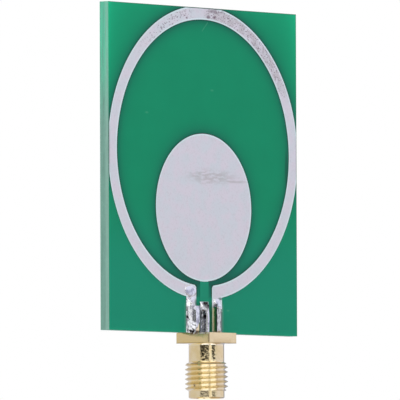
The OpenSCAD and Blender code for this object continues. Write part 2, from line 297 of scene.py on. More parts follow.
class Finish:
    """One procedural material, put together on the piece's own coordinates in millimetres."""

    def __init__(self, name):
        self.material = bpy.data.materials.new(name)
        self.material.use_nodes = True
        self.tree = self.material.node_tree
        self.shader = self.tree.nodes["Principled BSDF"]
        scale = self.add("ShaderNodeVectorMath", operation="SCALE")
        scale.inputs["Scale"].default_value = 1 / MM
        self.join(self.add("ShaderNodeTexCoord").outputs["Object"], scale.inputs[0])
        self.place = scale.outputs["Vector"]
        axes = self.add("ShaderNodeSeparateXYZ")
        self.join(self.place, axes.inputs[0])
        self.x, self.y, self.z = axes.outputs

    def add(self, kind, **settings):
        """A new node with its settings."""
        node = self.tree.nodes.new(kind)
        for name, value in settings.items():
            setattr(node, name, value)
        return node

    def join(self, value, socket):
        """Feeds a socket from another node, or sets it to a plain value."""
        if isinstance(value, bpy.types.NodeSocket):
            self.tree.links.new(value, socket)
        elif socket.type == "RGBA":
            socket.default_value = (*value, 1.0)
        else:
            socket.default_value = value

    def math(self, operation, *values):
        """What a math node makes of some values."""
        node = self.add("ShaderNodeMath", operation=operation)
        for value, socket in zip(values, node.inputs):
            self.join(value, socket)
        return node.outputs[0]

    def chain(self, operation, values):
        """Takes all values, one after the other, through the same kind of math node."""
        result, *others = values
        for value in others:
            result = self.math(operation, result, value)
        return result

    def all_of(self, *values):
        """Product of several shares."""
        return self.chain("MULTIPLY", values)

    def most(self, *values):
        """Largest of several values."""
        return self.chain("MAXIMUM", values)

    def least(self, *values):
        """Smallest of several values."""
        return self.chain("MINIMUM", values)

    def plus(self, first, second):
        """Sum of two values."""
        return self.math("ADD", first, second)

    def minus(self, first, second):
        """First value less the second."""
        return self.math("SUBTRACT", first, second)

    def scaled(self, value, gain, base):
        """A value times a gain, on top of a base."""
        return self.math("MULTIPLY_ADD", value, gain, base)

    def size(self, value):
        """A value without its sign."""
        return self.math("ABSOLUTE", value)

    def off(self, value, middle):
        """How far a coordinate lies from a middle, to either side."""
        return self.size(self.minus(value, middle))

    def span(self, across, up):
        """Length of a vector with two sides."""
        vector = self.add("ShaderNodeCombineXYZ")
        self.join(across, vector.inputs[0])
        self.join(up, vector.inputs[1])
        node = self.add("ShaderNodeVectorMath", operation="LENGTH")
        self.join(vector.outputs[0], node.inputs[0])
        return node.outputs["Value"]

    def fade(self, value, start, end):
        """Goes smoothly from 0 to 1 as value goes from start to end."""
        node = self.add("ShaderNodeMapRange", interpolation_type="SMOOTHSTEP")
        for item, socket in zip((value, start, end), node.inputs):
            self.join(item, socket)
        return node.outputs["Result"]

    def band(self, value, start, full, last, end):
        """Rises from 0 at start to 1 at full, and falls from 1 at last to 0 at end."""
        return self.all_of(self.fade(value, start, full), self.fade(value, end, last))

    def decay(self, distance, reach):
        """Falls from 1 towards 0 over a reach."""
        return self.math("EXPONENT", self.math("DIVIDE", distance, -reach))

    def mix(self, share, first, second):
        """Goes from the first colour to the second as share goes from 0 to 1."""
        node = self.add("ShaderNodeMix", data_type="RGBA", clamp_factor=True)
        self.join(share, node.inputs[0])
        self.join(first, node.inputs[6])
        self.join(second, node.inputs[7])
        return node.outputs[2]

    def tint(self, tone, over, *shares):
        """Lays a colour over a tone, as thickly as the product of the shares."""
        return self.mix(self.all_of(*shares), tone, over)

    def noise(self, per_mm, detail=2.0, stretch=None):
        """Soft noise with about per_mm lumps in a millimetre; a stretch below 1 draws them out."""
        node = self.add("ShaderNodeTexNoise")
        node.inputs["Scale"].default_value = per_mm
        node.inputs["Detail"].default_value = detail
        vector = self.place
        if stretch:
            pull = self.add("ShaderNodeVectorMath", operation="MULTIPLY")
            pull.inputs[1].default_value = stretch
            self.join(vector, pull.inputs[0])
            vector = pull.outputs["Vector"]
        self.join(vector, node.inputs["Vector"])
        return node.outputs[0]

    def patches(self, per_mm, detail, low, high, stretch=None):
        """Patches of a noise: 0 where it stays under low and 1 where it passes high."""
        return self.fade(self.noise(per_mm, detail, stretch), low, high)

    def blot(self, across, up, half_width, half_height, uneven=None):
        """A soft ellipse on the board, 1 in its middle and 0 at its outline.

        A noise can make the outline uneven."""
        reach = self.span(
            self.math("DIVIDE", self.minus(self.x, across), half_width),
            self.math("DIVIDE", self.minus(self.z, up), half_height),
        )
        if uneven is not None:
            reach = self.plus(reach, self.scaled(uneven, 4.0, -2.0))
        return self.fade(reach, 1.0, 0.3)

    def bump(self, height, depth):
        """Raises the surface by a height from 0 to 1, times a depth."""
        node = self.add("ShaderNodeBump")
        node.inputs["Distance"].default_value = depth
        self.join(height, node.inputs["Height"])
        self.join(node.outputs["Normal"], self.shader.inputs["Normal"])

    def set(self, **sockets):
        """Feeds the shader's sockets, named in small letters with underscores."""
        for name, value in sockets.items():
            found = [s for s in self.shader.inputs if s.name.lower().replace(" ", "_") == name]
            if not found:
                raise RuntimeError(f"the shader has no socket named {name}")
            self.join(value, found[0])


def mm(value):
    """A length in millimetres, as the materials use it."""
    return value / MM


def dimmed(share, shade):
    """A colour made darker or lighter by a share."""
    return tuple(share * c for c in shade)


def copper_gaps(f, conductors):
    """Distances from the ring with its ground legs and from the disc, below zero on the copper."""
    band = mm(conductors.ring_band)
    middle_radius = mm(conductors.ring_radius) - band / 2
    inner, outer = mm(conductors.ground_inner), mm(conductors.ground_outer)
    ring_up = f.minus(f.z, mm(conductors.ring_middle))
    ring = f.minus(f.off(f.span(f.x, ring_up), middle_radius), band / 2)
    width = f.size(f.x)
    opening = f.minus(inner, width)
    # The ring opens only at its foot, so higher up the opening is put far away.
    far = f.all_of(f.fade(ring_up, -10.0, -5.0), -100.0)
    ring = f.most(ring, f.plus(opening, far))
    leg_side = f.minus(f.off(width, (inner + outer) / 2), (outer - inner) / 2)
    leg_top = f.plus(ring_up, middle_radius)
    ring = f.least(ring, f.most(leg_side, leg_top))
    disc_radius = mm(DISC_HIGH.x)
    disc_up = f.minus(f.z, mm(DISC_HIGH.z) - disc_radius)
    disc = f.minus(f.span(f.x, disc_up), disc_radius)
    return ring, disc


def edge_glow(f, board):
    """Light that enters at the cut edges, stronger towards the top of the board."""
    reach = mm(board.glow_reach)
    fine_reach = reach / 8
    inwards = f.minus(mm(BOARD_HIGH.x), f.size(f.x))
    height = f.fade(f.z, *GLOW_HEIGHTS)
    wide = f.all_of(f.decay(inwards, reach), height, 0.62)
    narrow = f.all_of(f.decay(inwards, fine_reach), f.scaled(height, 0.2, 0.1))
    top = f.all_of(f.decay(f.minus(mm(BOARD_HIGH.z), f.z), reach), 0.22)
    foot = f.all_of(f.decay(f.minus(f.z, mm(BOARD_LOW.z)), fine_reach), 0.2)
    return f.chain("ADD", (wide, narrow, top, foot))


def printed_coat(f, tone, glow, settings):
    """Tone of the coat round the copper, with painted shade beside the copper, the feed strip, the painted
    shade between the legs, a painted shadow and small marks.
    """
    board, conductors = settings.board, settings.conductors
    ring, disc = copper_gaps(f, conductors)
    reach = mm(board.shade_reach)
    width = f.size(f.x)
    inner, outer = mm(conductors.ground_inner), mm(conductors.ground_outer)
    leg_tip, pin_tip = mm(LEG_TIP_Z), mm(PIN_TIP_Z)

    beside_legs = f.all_of(f.fade(width, outer - 0.2, outer), f.fade(f.z, leg_tip + 2.9, leg_tip + 0.9))
    ring_up = f.minus(f.z, mm(conductors.ring_middle))
    rim = mm(conductors.ring_radius)
    below_ring = f.all_of(f.fade(f.span(f.x, ring_up), rim - 0.5, rim - 0.1), f.fade(ring_up, -2.0, -9.0))
    clear = f.scaled(f.most(beside_legs, below_ring), -0.85, 1.0)
    # Painted shade beside the ring and the disc, weaker beside the legs and below the ring.
    shade = f.all_of(f.plus(f.decay(ring, reach), f.decay(disc, reach)), clear)
    tone = f.tint(tone, board.coat_glow, glow, f.minus(1.0, f.least(shade, 1.0)))
    tone = f.tint(tone, board.coat_shade_by_copper, shade)

    disc_foot = mm(DISC_HIGH.z) - 2 * mm(DISC_HIGH.x)
    half_feed = mm(conductors.feed_width) / 2
    below_disc = f.fade(f.z, disc_foot + 0.3, disc_foot)
    strip = f.all_of(f.fade(width, half_feed + 0.06, half_feed - 0.02), below_disc)
    tone = f.tint(tone, board.coat_strip, strip)
    pocket = f.band(width, half_feed - 0.1, half_feed + 0.1, inner, inner + 0.1)
    tone = f.tint(tone, board.pocket, pocket, f.fade(f.z, pin_tip + 0.8, pin_tip - 0.8), 0.8)
    halo = f.all_of(beside_legs, f.fade(width, outer + 0.6, outer))
    tone = f.tint(tone, board.edge, halo, f.fade(f.z, leg_tip + 0.8, leg_tip), 0.45)
    # Thin dark line along the coat's windows, partly painted shade.
    line = f.all_of(f.fade(f.least(ring, disc), 0.2, 0.06), f.minus(1.0, strip), clear)
    tone = f.tint(tone, board.coat_edge_and_shade, line)

    across_scratch = f.fade(f.off(f.minus(f.z, f.x), SCRATCH_RISE), 0.16, 0.04)
    along_scratch = f.fade(f.off(f.x, SCRATCH_X), 0.8, 0.5)
    tone = f.tint(tone, board.scratch, across_scratch, along_scratch, 0.6)
    # Painted shadow on the coat inside the ring's right side.
    tone = f.tint(tone, board.coat_edge_and_shade, f.blot(*COAT_SHADOW), 0.5)
    for mark in COAT_MARKS:
        tone = f.tint(tone, board.scratch, f.blot(*mark), 0.5)
    return tone


def coat_finish(settings, printed):
    """Green coat, with a painted glow from the cut edges; on the printed side it has painted shade beside
    bare copper.
    """
    board = settings.board
    f = Finish("printed_side_coat" if printed else "rear_coat")
    tone = f.mix(f.patches(0.22, 3.0, 0.3, 0.7), dimmed(0.98, board.coat), dimmed(1.02, board.coat))
    tone = f.tint(tone, board.coat_low, f.fade(f.z, *LOW_COAT_HEIGHTS))
    glow = edge_glow(f, board)
    if printed:
        tone = printed_coat(f, tone, glow, settings)
    else:
        tone = f.tint(tone, board.coat_glow, glow)
    to_edge = f.least(f.minus(mm(BOARD_HIGH.x), f.x), f.minus(mm(BOARD_HIGH.z), f.z))
    tone = f.tint(tone, board.outline, f.fade(to_edge, 0.16, 0.02), 0.8)
    f.set(base_color=tone, roughness=0.35, specular_ior_level=0.06)
    f.bump(f.noise(1.4, 3.0), 0.004 * MM)
    return f.material


def laminate_finish(settings):
    """Cut glass-epoxy edge in thin layers, with a painted glow that makes it greener near the top, a painted
    highlight along the printed face and painted shade in the gaps beside the copper.
    """
    board = settings.board
    f = Finish("laminate")
    # Painted glow towards the top of the cut edge.
    tone = f.mix(f.fade(f.z, *EDGE_HEIGHTS), board.edge, board.edge_top_glow)
    layers = f.patches(1.0, 2.0, 0.5, 0.7, stretch=(0.2, 5.0, 0.2))
    tone = f.tint(tone, dimmed(0.72, board.edge), layers, 0.6)
    fibres = f.noise(3.0, 4.0, stretch=(1.0, 3.0, 1.0))
    tone = f.tint(tone, board.pale_fibre_and_edge_highlight, f.fade(fibres, 0.5, 0.8), 0.3)
    # Painted highlight along the cut edge next to the printed face.
    front = mm(BOARD_LOW.y)
    tone = f.tint(tone, board.pale_fibre_and_edge_highlight, f.fade(f.y, front + 0.8, front + 0.45), 0.3)
    inside = f.least(
        f.minus(mm(BOARD_HIGH.x), f.size(f.x)),
        f.minus(f.z, mm(BOARD_LOW.z)),
        f.minus(mm(BOARD_HIGH.z), f.z),
    )
    # Painted shade in the gaps beside the copper, away from the cut edges.
    tone = f.tint(tone, board.coat_edge_and_shade, f.fade(inside, 0.01, 0.03))
    f.set(base_color=tone, roughness=0.55, specular_ior_level=0.3)
    f.bump(fibres, 0.01 * MM)
    return f.material


def ring_wear(f, tone, ring, conductors):
    """Dull arcs, dots and dashes on the upper part of the ring, by the angle from its top."""
    turn = f.math("ARCTAN2", f.x, f.minus(f.z, mm(conductors.ring_middle)))
    on_band = f.all_of(f.fade(ring, -0.1, -0.4), f.fade(f.z, *WORN_RING_HEIGHTS))
    right_arc = f.all_of(on_band, f.band(turn, -0.02, 0.08, 0.85, 1.4))
    left_arc = f.all_of(on_band, f.band(turn, -0.95, -0.36, -0.18, -0.1))
    tone = f.tint(tone, conductors.tin_dull, right_arc, f.patches(0.9, 3.0, 0.3, 0.6), 0.7)
    dots = f.all_of(right_arc, f.patches(4.6, 1.0, 0.55, 0.68))
    dashes = f.all_of(left_arc, f.patches(3.4, 1.0, 0.57, 0.68, stretch=(0.6, 1.0, 1.5)))
    tone = f.tint(tone, conductors.tin_speck, f.most(dots, dashes), 0.75)
    for mark in RING_MARKS:
        tone = f.tint(tone, conductors.tin_speck, f.blot(*mark), f.patches(2.6, 2.0, 0.25, 0.5), 0.75)
    return tone


def tin_finish(settings):
    """Levelled tin: faintly mottled, with a painted highlight at its rims and painted shade beside the right
    front leg, dull where it was handled, with dark specks.
    """
    conductors = settings.conductors
    f = Finish("levelled_tin")
    tone = f.mix(f.patches(0.45, 3.0, 0.35, 0.65), conductors.tin_warm, conductors.tin_cool)
    grain = f.noise(4.0, 4.0)
    tone = f.tint(tone, conductors.tin_dull, f.fade(grain, 0.5, 0.8), 0.35)
    ring, disc = copper_gaps(f, conductors)
    streaks = f.noise(1.5, 4.0, stretch=(0.5, 1.0, 2.4))
    smear = f.all_of(f.blot(*DISC_SMEAR), f.fade(streaks, 0.36, 0.58))
    tail = f.all_of(f.blot(*SMEAR_TAIL), f.fade(streaks, 0.2, 0.5))
    tone = f.tint(tone, conductors.tin_smear, f.most(smear, tail), 0.45)
    # Painted highlight along the rims of the ring and the disc.
    tone = f.tint(tone, conductors.tin_rim_highlight, f.fade(f.least(ring, disc), -0.32, -0.08), 0.6)
    tone = ring_wear(f, tone, ring, conductors)

    leg_tip = mm(LEG_TIP_Z)
    beside_leg = f.fade(f.z, leg_tip, leg_tip - 0.4)
    dark_patches = f.most(*(f.blot(*mark) for mark in DARK_TIN_PATCHES))
    tone = f.tint(tone, conductors.tin_shade, dark_patches, 0.85)
    tone = f.tint(tone, conductors.tin_wetted, f.blot(*WETTED_TIN), 0.95)
    # Painted shade on the tin beside the right front leg, below its tip.
    outer_strip = f.fade(f.off(f.x, 3.6), 0.7, 0.5)
    tone = f.tint(tone, conductors.tin_shade, outer_strip, beside_leg, 0.9)
    inner_strip = f.band(f.x, 1.7, 1.8, 2.1, 2.3)
    tone = f.tint(tone, conductors.tin_shade, inner_strip, beside_leg, 0.25)
    streak = f.all_of(f.blot(*RING_STREAK), f.patches(1.3, 3.0, 0.35, 0.55, stretch=(0.5, 1.0, 2.0)))
    tone = f.tint(tone, conductors.tin_speck, streak, 0.6)
    f.set(base_color=tone, metallic=0.9, roughness=f.scaled(grain, 0.2, 0.34))
    f.bump(f.noise(2.2, 3.0), 0.006 * MM)
    return f.material


def thread_crests(f, jack):
    """1 on the thread's crests and 0 in its grooves, by the thread's own turn and climb."""
    turn = f.math("DIVIDE", f.math("ARCTAN2", f.y, f.x), math.tau)
    climb = f.math("DIVIDE", f.minus(f.z, mm(jack.thread_start)), mm(jack.thread_pitch))
    past_groove = f.math("FRACT", f.plus(f.minus(climb, turn), 0.5))
    return f.band(past_groove, 0.12, 0.34, 0.54, 0.72)


def gold_stains_and_shade(f, jack, at_foot):
    """Flux at the joints' feet and on one corner, painted shade as dark lines in the creases at the flange's
    lower edge and the thread's top, and a spot on the thread.
    """
    half = mm(jack.flange_width) / 2
    neck_foot = mm(jack.nose_length + jack.thread_length)
    flange_low = neck_foot + mm(jack.neck_length)
    at_joints = f.all_of(at_foot, f.patches(2.2, 3.0, 0.3, 0.46), f.fade(f.y, 0.1 - half, 0.6 - half))
    to_corner = f.span(f.plus(f.x, half), f.plus(f.y, half))
    corner = f.all_of(f.fade(to_corner, 0.3, 0.06), f.patches(1.6, 2.0, 0.25, 0.5), 0.7)
    outwards = f.most(f.size(f.x), f.size(f.y))
    # Painted shade: dark lines at the flange's lower edge and just below the neck's foot.
    at_crease = f.band(f.z, flange_low - 0.1, flange_low, flange_low + 0.04, flange_low + 0.16)
    crease_shade = f.all_of(at_crease, f.fade(outwards, 3.0, 3.1), 0.5)
    to_line = f.off(f.z, neck_foot - 0.15)
    foot_shade_line = f.all_of(f.fade(to_line, 0.13, 0.04), f.patches(0.7, 2.0, 0.3, 0.55), 0.7)
    spot_y, spot_z = THREAD_SPOT
    to_spot = f.span(f.minus(f.y, spot_y), f.minus(f.z, spot_z))
    spot = f.all_of(f.fade(to_spot, 0.26, 0.06), f.fade(f.x, -2.0, -2.5), 0.5)
    return f.most(at_joints, corner, crease_shade, foot_shade_line, spot)


def tinned_leg(f, tone, jack):
    """Tone of the jack with solder run over the right front leg, and shade along that leg's edges."""
    edge = mm(EDGE_Z)
    ragged = f.noise(2.0)
    tinned = f.all_of(
        f.fade(f.plus(f.y, f.all_of(ragged, 0.1)), -0.1, -0.2),
        f.fade(f.x, 1.0, 1.5),
        f.fade(f.plus(f.z, ragged), edge + 0.7, edge + 1.0),
    )
    specks = f.patches(2.4, 3.0, 0.48, 0.66, stretch=(1.0, 1.0, 0.6))
    tone = f.tint(tone, f.mix(specks, jack.tinned, jack.tinned_dull), tinned)
    left = mm(leg_middle(jack) - jack.leg_width / 2)
    right = mm(leg_middle(jack) + jack.leg_width / 2)
    at_edge = f.most(f.fade(f.x, left + 0.1, left + 0.03), f.fade(f.x, right - 0.19, right - 0.1))
    return f.tint(tone, jack.tinned_edge, tinned, at_edge, 0.85)


def gold_finish(settings):
    """Gold plate on turned brass, stained at the joints' feet and tinned on the right front leg, with painted
    light and shade on the thread, at the neck's top, on the flange's front and in dark lines at the flange's
    lower edge and the thread's top.
    """
    jack = settings.jack
    f = Finish("gold_plate")
    nose = mm(jack.nose_length)
    neck_foot = mm(jack.nose_length + jack.thread_length)
    flange_low = neck_foot + mm(jack.neck_length)
    edge = mm(EDGE_Z)
    front = -mm(jack.flange_width) / 2
    on_nose = f.fade(f.z, nose, nose - 0.1)
    on_thread = f.band(f.z, nose - 0.05, nose + 0.05, neck_foot - 0.05, neck_foot + 0.05)
    on_flange = f.band(f.z, edge - 1.6, edge - 1.5, edge, edge + 0.2)
    at_foot = f.all_of(f.fade(f.off(f.z, edge), 0.5, 0.1), f.fade(f.y, 0.6, 0.4))

    tone = f.mix(f.patches(0.5, 2.0, 0.35, 0.65), jack.gold, jack.gold_deep)
    # Painted light and shade on the thread: paler grooves and darker crests.
    tone = f.tint(tone, f.mix(thread_crests(f, jack), jack.gold_pale_lit, jack.gold_crest_shade), on_thread)
    # Painted light on the flange's front face.
    flange_gold_and_lit_front = f.mix(f.fade(f.y, front + 0.05, front + 0.01), jack.gold_flange, jack.gold_front_lit)
    tone = f.tint(tone, flange_gold_and_lit_front, on_flange)
    # Painted light: paler gold round the top of the neck, under the flange.
    collar_light = f.band(f.z, flange_low - 0.4, flange_low - 0.15, flange_low, flange_low + 0.1)
    tone = f.tint(tone, jack.gold_pale_lit, collar_light, f.fade(f.span(f.x, f.y), 3.1, 2.9))
    stains_and_shade = gold_stains_and_shade(f, jack, at_foot)
    tone = f.tint(tone, jack.flux_stain_and_shade, stains_and_shade)
    # Pale spots on the flange's top beside the left front joint.
    pale_spots = f.all_of(at_foot, f.patches(3.1, 2.0, 0.46, 0.58), f.fade(f.x, -2.6, -2.9))
    tone = f.tint(tone, jack.tinned, pale_spots, stains_and_shade, 0.8)
    tone = tinned_leg(f, tone, jack)

    turned = f.noise(1.0, 3.0, stretch=(0.6, 0.6, 9.0))
    rough = f.scaled(turned, 0.06, 0.07)
    for share, extra in ((on_flange, 0.15), (on_thread, 0.08), (on_nose, 0.03), (stains_and_shade, 0.4)):
        rough = f.scaled(share, extra, rough)
    f.set(base_color=tone, metallic=f.scaled(stains_and_shade, -0.7, 1.0), roughness=rough)

    coarse_pits = f.noise(3.8, 1.0)
    fine_pits = f.scaled(f.noise(8.0, 1.0), 0.22, 0.45)
    pits = f.scaled(on_nose, f.minus(fine_pits, coarse_pits), coarse_pits)
    lower = f.most(f.fade(f.z, flange_low - 0.6, neck_foot + 0.4), f.fade(f.z, nose - 0.4, -0.2))
    smooth = f.scaled(on_thread, -0.75, 1.0)
    mottle = f.all_of(f.fade(pits, 0.46, 0.78), smooth, f.scaled(lower, 0.2, 0.35))
    f.bump(f.scaled(turned, 0.06, mottle), 0.018 * MM)
    return f.material


def insulator_finish(settings):
    """Waxy white insulator with faint turning marks."""
    white = settings.jack.insulator
    f = Finish("waxy_insulator")
    rings = f.noise(1.5, 2.0, stretch=(1.0, 1.0, 4.0))
    tone = f.mix(f.fade(rings, 0.35, 0.65), white, dimmed(0.93, white))
    f.set(
        base_color=tone, roughness=0.45, specular_ior_level=0.4,
        subsurface_weight=0.15, subsurface_scale=0.4 * MM,
    )
    f.bump(rings, 0.01 * MM)
    return f.material


def solder_finish(settings):
    """Bright solder that has gone dull in patches, with a grey film on the pin, a painted dark reflection on
    the left front joint, a dark flux crust and small painted dark reflections.
    """
    solder = settings.solder
    f = Finish("hand_solder")
    patches = f.noise(1.1, 3.0)
    tone = f.mix(f.fade(patches, 0.45, 0.7), solder.bright, solder.dull)
    in_front = f.fade(f.y, 1.0, 0.5)
    leg_tip, pin_tip = mm(LEG_TIP_Z), mm(PIN_TIP_Z)

    pin_side = f.band(f.x, -1.1, -0.9, -0.5, -0.2)
    below_pin_tip = f.fade(f.z, pin_tip - 0.4, pin_tip - 1.0)
    pin_film = f.all_of(pin_side, below_pin_tip, f.patches(1.7, 2.0, 0.25, 0.5), 0.85)
    # Painted dark reflection on the left front joint, towards the feed.
    leg_side = f.band(f.x, -2.85, -2.65, -1.8, -1.6)
    below_leg_tip = f.fade(f.z, leg_tip - 0.1, leg_tip - 0.5)
    uneven = f.patches(2.6, 3.0, 0.42, 0.6, stretch=(1.0, 1.0, 0.5))
    leg_side_dark_reflection = f.all_of(leg_side, below_leg_tip, uneven, 0.5)
    tone = f.tint(tone, solder.film, f.most(pin_film, leg_side_dark_reflection), in_front)

    crust = f.all_of(f.blot(*PIN_CRUST), f.patches(2.6, 3.0, 0.22, 0.42))
    torn = f.noise(3.2, 4.0)
    # Painted dark reflections as small dark spots in the solder.
    pits = (f.blot(*pit, uneven=torn) for pit in SOLDER_DARK_REFLECTIONS)
    tone = f.tint(tone, solder.flux_and_dark_reflection, f.most(crust, *pits), in_front)
    f.set(base_color=tone, metallic=1.0, roughness=f.scaled(patches, 0.2, 0.06))
    crinkle = f.noise(1.9, 2.0, stretch=(1.0, 1.0, 0.6))
    f.bump(f.scaled(f.noise(5.0, 1.0), 0.15, crinkle), 0.02 * MM)
    return f.material


def dress(node, material):
    """Gives a node of the frame its finish."""
    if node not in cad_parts:
        raise RuntimeError(f"the frame has no node named {node}")
    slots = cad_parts[node].data.materials
    slots.clear()
    slots.append(material)


def sheet_mesh(bm, name):
    """A mesh from a finished sheet, with its faces as they are."""
    mesh = bpy.data.meshes.new(name)
    bm.to_mesh(mesh)
    bm.free()
    return mesh


def solid_mesh(bm, name):
    """A mesh from a finished closed shape, with its faces outwards."""
    bmesh.ops.recalc_face_normals(bm, faces=bm.faces)
    return sheet_mesh(bm, name)


def show(data):
    """Puts a mesh, a lamp or a camera into the scene under its own name."""
    item = bpy.data.objects.new(data.name, data)
    bpy.context.scene.collection.objects.link(item)
    return item


def add_piece(mesh, material, slot, *nodes):
    """Shows a piece, smooth but for its hard edges, in place of the nodes that it stands for."""
    mesh.materials.clear()
    mesh.materials.append(material)
    mesh.shade_smooth()
    mesh.set_sharp_from_angle(angle=HARD_EDGE)
    piece = show(mesh)
    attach(piece, "root")
    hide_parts(*nodes)
    even = piece.modifiers.new("even_shading", "WEIGHTED_NORMAL")
    even.mode = "FACE_AREA_WITH_ANGLE"
    even.keep_sharp = True


def joined(bm, extra, name):
    """One skin round two closed shapes."""
    meshes = [solid_mesh(bm, name), solid_mesh(extra, name + "_extra")]
    host, guest = (show(mesh) for mesh in meshes)
    modifier = host.modifiers.new("join", "BOOLEAN")
    modifier.operation = "UNION"
    modifier.solver = "EXACT"
    modifier.object = guest
    result = bpy.data.meshes.new_from_object(host.evaluated_get(bpy.context.evaluated_depsgraph_get()))
    for item in (host, guest):
        bpy.data.objects.remove(item)
    for mesh in meshes:
        bpy.data.meshes.remove(mesh)
    result.name = name
    return result


def only(kind, geometry):
    """The parts of one kind in what an operator has made."""
    return [part for part in geometry if isinstance(part, kind)]


def edges_where(bm, test):
    """Edges whose two ends both pass a test on their place."""
    return [e for e in bm.edges if all(test(v.co) for v in e.verts)]


def near(value, target):
    """True where two lengths are the same."""
    return abs(value - target) < SAME_PLACE


def round_off(bm, edges, offset, segments):
    """Rounds edges without letting them run into each other."""
    bmesh.ops.bevel(
        bm, geom=edges, offset=offset, segments=segments, profile=0.5,
        affect="EDGES", material=-1, clamp_overlap=True,
    )


def thread_radius(jack, turn, height):
    """Radius of the thread at a share of a turn and a height: a hollow vee, bevelled at both ends."""
    low = jack.nose_length
    high = low + jack.thread_length
    along = ((height - jack.thread_start) / jack.thread_pitch - turn + 0.5) % 1.0 - 0.5
    flank = jack.thread_pitch / 2 - jack.thread_crest / 2
    share = (abs(along) * jack.thread_pitch - jack.thread_crest / 2) / flank
    groove = 1.0 - (1.0 - min(max(share, 0.0), 1.0)) ** jack.thread_hollow
    vee = jack.thread_radius - jack.thread_depth * groove
    bevel = jack.thread_radius - jack.thread_bevel + min(height - low, high - height)
    return min(vee, bevel)


def barrel(jack):
    """Nose, thread and neck as one turned skin, open where it meets the flange and at the top of the bore."""
    low = jack.nose_length
    high = low + jack.thread_length
    neck_top = high + jack.neck_length
    outline = [
        (jack.bore_radius, EDGE_Z),
        (jack.bore_radius, jack.socket_depth),
        (jack.socket_radius, jack.socket_depth),
        (jack.socket_radius, jack.nose_bevel),
        (jack.socket_radius + jack.nose_bevel / 2, 0.0),
        (jack.nose_radius - jack.nose_bevel, 0.0),
        (jack.nose_radius, jack.nose_bevel),
        (jack.nose_radius, low),
        (jack.thread_radius, low),
        (jack.thread_radius, high),
    ]
    for angle in (0.0, 22.5, 45.0, 67.5, 90.0):
        turn = math.radians(angle)
        outline.append((
            jack.neck_radius + jack.foot_width * (1.0 - math.sin(turn)),
            high + jack.foot_height * (1.0 - math.cos(turn)),
        ))
    margin = 0.03 * MM
    outline += [
        (jack.neck_radius, high + jack.foot_height + margin),
        (jack.neck_radius, neck_top - jack.neck_fillet - margin),
        (jack.neck_radius, neck_top),
    ]
    bm = bmesh.new()
    corners = [bm.verts.new((radius, 0.0, height)) for radius, height in outline]
    edges = [bm.edges.new(pair) for pair in zip(corners, corners[1:])]
    threaded = [e for e in edges if all(near(v.co.x, jack.thread_radius) for v in e.verts)]
    points_per_turn = 28
    cuts = round(points_per_turn * jack.thread_length / jack.thread_pitch)
    bmesh.ops.subdivide_edges(bm, edges=threaded, cuts=cuts)
    bmesh.ops.spin(
        bm, geom=bm.verts[:] + bm.edges[:], cent=(0, 0, 0), axis=(0, 0, 1),
        angle=math.tau, steps=jack.steps, use_merge=True,
    )
    bmesh.ops.remove_doubles(bm, verts=bm.verts, dist=2.0 * JOIN)
    for v in bm.verts:
        if near(math.hypot(v.co.x, v.co.y), jack.thread_radius):
            turn = math.atan2(v.co.y, v.co.x) / math.tau
            radius = thread_radius(jack, turn, v.co.z)
            v.co.xy = v.co.xy.normalized() * radius
    return bm


def add_flange(bm, jack):
    """Draws the neck's open edge out to the square flange and closes it round the bore."""
    half = jack.flange_width / 2
    neck_top = jack.nose_length + jack.thread_length + jack.neck_length

    def outwards(p):
        return max(abs(p.x), abs(p.y))

    def on_side(p):
        return near(outwards(p), half)

    def is_corner(edge):
        return all(near(abs(side), half) for side in edge.verts[0].co.xy)

    def is_level(edge):
        return near(edge.verts[0].co.z, edge.verts[1].co.z)

    def is_rim(p):
        return on_side(p) and (near(p.z, neck_top) or near(p.z, EDGE_Z))

    rim = [e for e in edges_where(bm, lambda p: near(p.z, neck_top)) if e.is_boundary]
    grown = bmesh.ops.extrude_edge_only(bm, edges=rim)["geom"]
    for v in only(bmesh.types.BMVert, grown):
        v.co.xy *= half / outwards(v.co)
    rim = [e for e in only(bmesh.types.BMEdge, grown) if all(on_side(v.co) for v in e.verts)]
    grown = bmesh.ops.extrude_edge_only(bm, edges=rim)["geom"]
    raised = only(bmesh.types.BMVert, grown)
    bmesh.ops.translate(bm, verts=raised, vec=(0, 0, EDGE_Z - neck_top))
    open_edges = [e for e in bm.edges if e.is_boundary]
    bmesh.ops.bridge_loops(bm, edges=open_edges)

    upright = [e for e in edges_where(bm, on_side) if is_corner(e) and not is_level(e)]
    inner = edges_where(bm, lambda p: near(p.z, neck_top) and near(p.xy.length, jack.neck_radius))
    round_off(bm, inner, jack.neck_fillet, segments=4)
    round_off(bm, upright, jack.flange_corner, segments=3)
    flat = [e for e in edges_where(bm, is_rim) if is_level(e)]
    round_off(bm, flat, jack.flange_bevel, segments=3)


def leg_middle(jack):
    """Distance of a leg's middle from the jack's axis."""
    return jack.flange_width / 2 - jack.leg_inset - jack.leg_width / 2


def legs(jack):
    """Four legs that straddle the board, standing a little way into the flange."""
    bm = bmesh.new()
    middle = leg_middle(jack)
    root = 0.3 * MM
    height = LEG_TIP_Z - EDGE_Z + root
    for side in (-1, 1):
        for y in (FRONT_PAD_Y - jack.leg_thickness / 2, REAR_PAD_Y + jack.leg_thickness / 2):
            place = Matrix.Translation((side * middle, y, EDGE_Z - root + height / 2))
            size = Matrix.Diagonal((jack.leg_width, jack.leg_thickness, height, 1.0))
            bmesh.ops.create_cube(bm, size=1.0, matrix=place @ size)
    round_off(bm, bm.edges[:], jack.leg_bevel, segments=3)
    return bm


